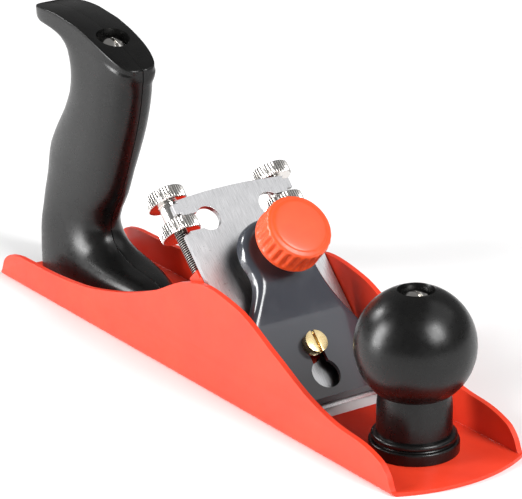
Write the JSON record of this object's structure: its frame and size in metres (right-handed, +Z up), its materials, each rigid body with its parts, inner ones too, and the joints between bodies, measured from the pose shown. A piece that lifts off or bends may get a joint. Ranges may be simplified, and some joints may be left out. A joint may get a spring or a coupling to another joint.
{
  "type": "hand plane",
  "caption": "Smoothing plane with a U-shaped painted body, a bedded steel cutter fed by thumb wheels, a keyhole lever cap, a ball front knob and a rear handle.",
  "frame": {"origin": "on the sole's face, under the middle of the whole length and width", "axes": "+X towards the toe and the ball knob, +Z up, Y across the body"},
  "size_m": [0.259, 0.06, 0.1048],
  "materials": {
    "red_paint": "satin",
    "rivet_steel": "satin",
    "black_steel": "black oxide",
    "nickel": "bright nickel plate",
    "blade_steel": "ground lengthwise",
    "black_enamel": "gloss",
    "brass": "turned",
    "orange_plastic": "satin moulded",
    "black_plastic": "satin moulded"
  },
  "bodies": {
    "body": {"plane_body": "red_paint", "frog": "red_paint", "frog_rivets": "rivet_steel", "left_wheel_stud": "black_steel", "right_wheel_stud": "black_steel", "cap_screw": "brass", "front_knob": "black_plastic", "knob_collar": "black_plastic", "knob_boss": "rivet_steel", "knob_screw": "nickel", "knob_washer": "nickel", "tote_left_half": "black_plastic", "tote_right_half": "black_plastic", "tote_boss": "rivet_steel", "tote_bolt": "nickel", "tote_washer": "nickel"},
    "blade": {"cutter": "blade_steel"},
    "left_wheel": {"left_adjuster_wheel": "nickel"},
    "right_wheel": {"right_adjuster_wheel": "nickel"},
    "cap": {"lever_cap": "black_enamel", "cap_bush": "nickel"},
    "clamp_stud": {"cap_knob_stud": "nickel"},
    "clamp_knob": {"cap_knob": "orange_plastic"}
  },
  "joints": [
    {"name": "left_wheel_turn", "type": "hinge", "parent": "blade", "child": "left_wheel", "pos_m": [-0.01209, 0.0225, 0.05623], "axis": [0.7071, 0, -0.7071], "range_deg": [-901, 1801]},
    {"name": "right_wheel_turn", "type": "hinge", "parent": "blade", "child": "right_wheel", "pos_m": [-0.01209, -0.0225, 0.05623], "axis": [0.7071, 0, -0.7071], "range_deg": [-901, 1801]},
    {"name": "blade_feed", "type": "slide", "parent": "body", "child": "blade", "axis": [0.7071, 0, -0.7071], "range_m": [-0.002, 0.004]},
    {"name": "cap_slide", "type": "slide", "parent": "body", "child": "cap", "axis": [-0.7071, 0, 0.7071], "range_m": [0, 0.0112]},
    {"name": "clamp_stud_lift", "type": "slide", "parent": "cap", "child": "clamp_stud", "axis": [0.7071, 0, 0.7071], "range_m": [0, 0.003]},
    {"name": "clamp_knob_turn", "type": "hinge", "parent": "clamp_stud", "child": "clamp_knob", "pos_m": [0.02669, 0, 0.05449], "axis": [0.7071, 0, 0.7071], "range_deg": [0, 1081]}
  ],
  "couplings": [
    {"joint": "left_wheel_turn", "follows": "blade_feed", "rad_per_m": 7854},
    {"joint": "right_wheel_turn", "follows": "blade_feed", "rad_per_m": 7854},
    {"joint": "clamp_knob_turn", "follows": "clamp_stud_lift", "rad_per_m": 6283.2}
  ]
}
